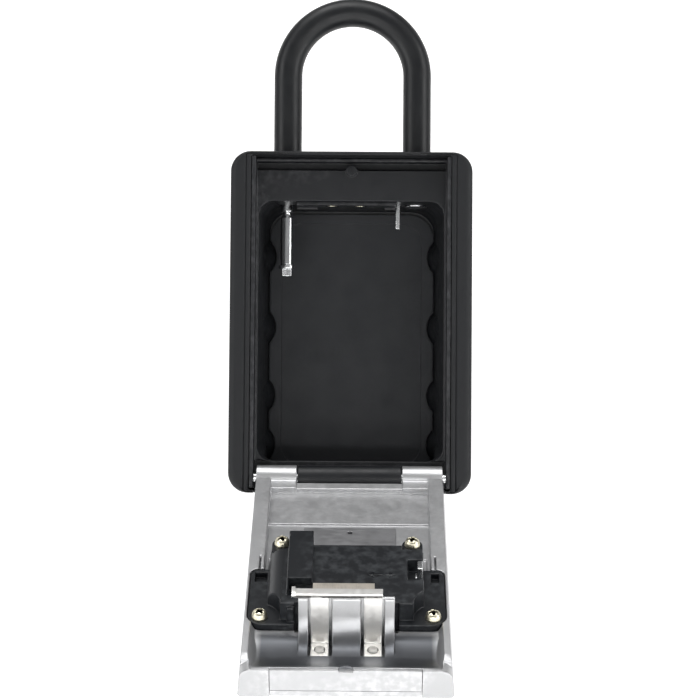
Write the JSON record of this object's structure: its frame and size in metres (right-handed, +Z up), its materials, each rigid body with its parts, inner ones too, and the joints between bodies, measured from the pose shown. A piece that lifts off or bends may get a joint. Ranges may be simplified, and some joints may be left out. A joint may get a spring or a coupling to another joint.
{
  "type": "key lock box",
  "caption": "Combination lock box for keys that hangs by its shackle, with a bottom-hinged door shown open and the lock on its inner side.",
  "frame": {"origin": "inside of the shackle's crown, in the shackle's middle plane, where a rail carries the box", "axes": "+X to the right seen from the front, +Y from the front to the back of the case, +Z up towards the shackle"},
  "size_m": [0.085, 0.1396, 0.2386],
  "materials": {
    "case_metal": "satin black powder coat",
    "soft_jacket": "matt soft-touch black",
    "liner": "matt black mat",
    "bushing": "matt",
    "shackle_steel": "polished hardened steel",
    "shackle_coat": "satin black coating",
    "bright_steel": "bright zinc plate",
    "door_silver": "fine silver lacquer on a zinc casting",
    "panel_silver": "fine light silver lacquer",
    "housing_black": "satin moulded",
    "screw_zinc": "yellowish zinc plate",
    "dial_black": "satin, white numbers",
    "brass": "machined",
    "nickel_plate": "nickel plated, satin",
    "gate_steel": "pale plated steel",
    "spring_steel": "drawn wire"
  },
  "bodies": {
    "case": {"case_tub": "case_metal", "outer_jacket": "soft_jacket", "floor_liner": "liner", "strike_plate": "case_metal", "strike_screws": "screw_zinc", "leg_bushings": "bushing", "hinge_pin": "bright_steel"},
    "shackle": {"shackle_core": "shackle_steel", "shackle_sleeve": "shackle_coat", "heel_nut": "bright_steel"},
    "bolt": {"shackle_bolt": "bright_steel"},
    "door": {"door_shell": "door_silver", "front_panel": "panel_silver", "spring_cover": "gate_steel", "cover_detent": "bright_steel", "detent_washer": "spring_steel", "lock_housing": "housing_black", "housing_screws": "screw_zinc", "dial_axle": "bright_steel", "detent_spring": "spring_steel", "latch_spring": "spring_steel"},
    "cover": {"dial_cover": "panel_silver"},
    "latch": {"latch_plate": "nickel_plate", "gate_plate": "gate_steel", "latch_rivets": "nickel_plate", "opening_slider": "door_silver"},
    "reset": {"reset_lever": "bright_steel"},
    "wheel_1": {"dial_1": "dial_black", "dial_hub_1": "brass"},
    "wheel_2": {"dial_2": "dial_black", "dial_hub_2": "brass"},
    "wheel_3": {"dial_3": "dial_black", "dial_hub_3": "brass"},
    "wheel_4": {"dial_4": "dial_black", "dial_hub_4": "brass"}
  },
  "joints": [
    {"name": "door_hinge", "type": "hinge", "parent": "case", "child": "door", "pos_m": [0, -0.018, -0.1625], "axis": [1, 0, 0], "range_deg": [-121.5, 0]},
    {"name": "shackle_lift", "type": "slide", "parent": "case", "child": "shackle", "axis": [0, 0, 1], "range_m": [0, 0.0214]},
    {"name": "shackle_bolt_slide", "type": "slide", "parent": "case", "child": "bolt", "axis": [1, 0, 0], "range_m": [0, 0.0016]},
    {"name": "cover_slide", "type": "slide", "parent": "door", "child": "cover", "axis": [0, 0.8526, 0.5225], "range_m": [0, 0.051]},
    {"name": "latch_slide", "type": "slide", "parent": "door", "child": "latch", "axis": [0, -0.8526, -0.5225], "range_m": [0, 0.0022]},
    {"name": "reset_slide", "type": "slide", "parent": "door", "child": "reset", "axis": [-1, 0, 0], "range_m": [0, 0.003]},
    {"name": "dial_1_turn", "type": "hinge", "parent": "door", "child": "wheel_1", "pos_m": [-0.012, -0.0749, -0.19596], "axis": [1, 0, 0], "continuous": true},
    {"name": "dial_2_turn", "type": "hinge", "parent": "door", "child": "wheel_2", "pos_m": [-0.004, -0.0749, -0.19596], "axis": [1, 0, 0], "continuous": true},
    {"name": "dial_3_turn", "type": "hinge", "parent": "door", "child": "wheel_3", "pos_m": [0.004, -0.0749, -0.19596], "axis": [1, 0, 0], "continuous": true},
    {"name": "dial_4_turn", "type": "hinge", "parent": "door", "child": "wheel_4", "pos_m": [0.012, -0.0749, -0.19596], "axis": [1, 0, 0], "continuous": true}
  ]
}
